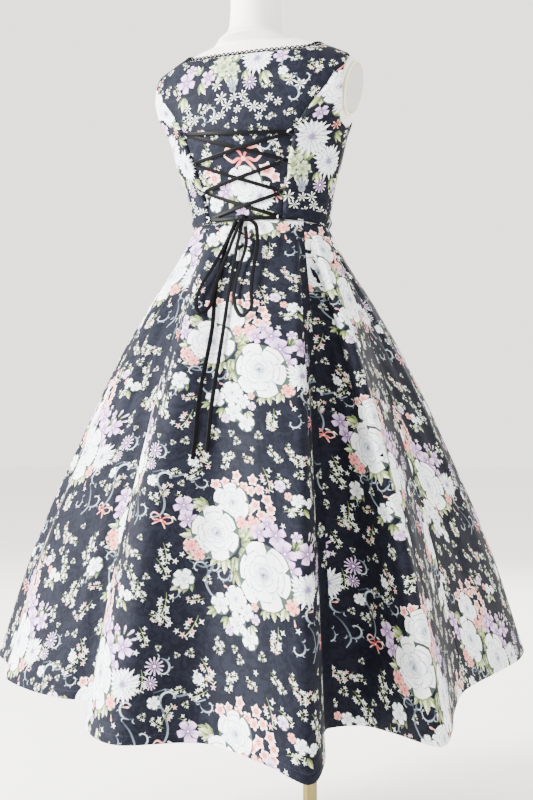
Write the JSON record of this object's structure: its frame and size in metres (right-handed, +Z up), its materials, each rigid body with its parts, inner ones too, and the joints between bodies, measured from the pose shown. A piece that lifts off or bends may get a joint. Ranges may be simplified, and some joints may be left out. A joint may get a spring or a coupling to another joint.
{
  "type": "pinafore dress on a dress form",
  "caption": "Sleeveless full-skirted floral dress, laced with ribbon down the back, on a limbless dress form with a pole and round base.",
  "frame": {"origin": "centre of the base plate's underside, on the floor", "axes": "+Z up, the dress's front faces -Y and its laced back +Y, the wearer's right side is -X"},
  "size_m": [0.9635, 1.0851, 1.545],
  "materials": {
    "printed_cloth": "dark navy jacquard cotton printed with white, lilac and coral flowers, soft sheen",
    "ribbon": "black satin ribbon",
    "lace": "black cotton picot lace",
    "form_cover": "cream smooth cover",
    "plate_rim": "pale brass, satin",
    "stand_metal": "olive brass, satin"
  },
  "bodies": {
    "root": {"bodice_back_centre": "printed_cloth", "bodice_back_side_left": "printed_cloth", "bodice_back_side_right": "printed_cloth", "bodice_front_centre": "printed_cloth", "bodice_front_side_left": "printed_cloth", "bodice_front_side_right": "printed_cloth", "form_arm_plate_left": "form_cover", "form_arm_plate_right": "form_cover", "form_arm_rim_left": "plate_rim", "form_arm_rim_right": "plate_rim", "form_torso": "form_cover", "lacing_bar_low_left": "ribbon", "lacing_bar_low_right": "ribbon", "lacing_bar_top": "ribbon", "lacing_cross_1_falling_left": "ribbon", "lacing_cross_1_falling_right": "ribbon", "lacing_cross_2_falling_left": "ribbon", "lacing_cross_2_falling_right": "ribbon", "lacing_cross_3_falling_left": "ribbon", "lacing_cross_3_falling_right": "ribbon", "lacing_knot": "ribbon", "lacing_loop_1_left": "printed_cloth", "lacing_loop_1_right": "printed_cloth", "lacing_loop_2_left": "printed_cloth", "lacing_loop_2_right": "printed_cloth", "lacing_loop_3_left": "printed_cloth", "lacing_loop_3_right": "printed_cloth", "lacing_loop_4_left": "printed_cloth", "lacing_loop_4_right": "printed_cloth", "neck_lace_back": "lace", "neck_lace_front": "lace", "ribbon_loop_left": "ribbon", "ribbon_loop_right": "ribbon", "ribbon_tail_left": "ribbon", "ribbon_tail_right": "ribbon", "skirt_back_centre": "printed_cloth", "skirt_back_side_left": "printed_cloth", "skirt_back_side_right": "printed_cloth", "skirt_front_centre": "printed_cloth", "skirt_front_side_left": "printed_cloth", "skirt_front_side_right": "printed_cloth", "stand_base": "stand_metal", "stand_collar": "stand_metal", "stand_pole": "stand_metal", "stand_socket": "stand_metal"}
  },
  "joints": []
}
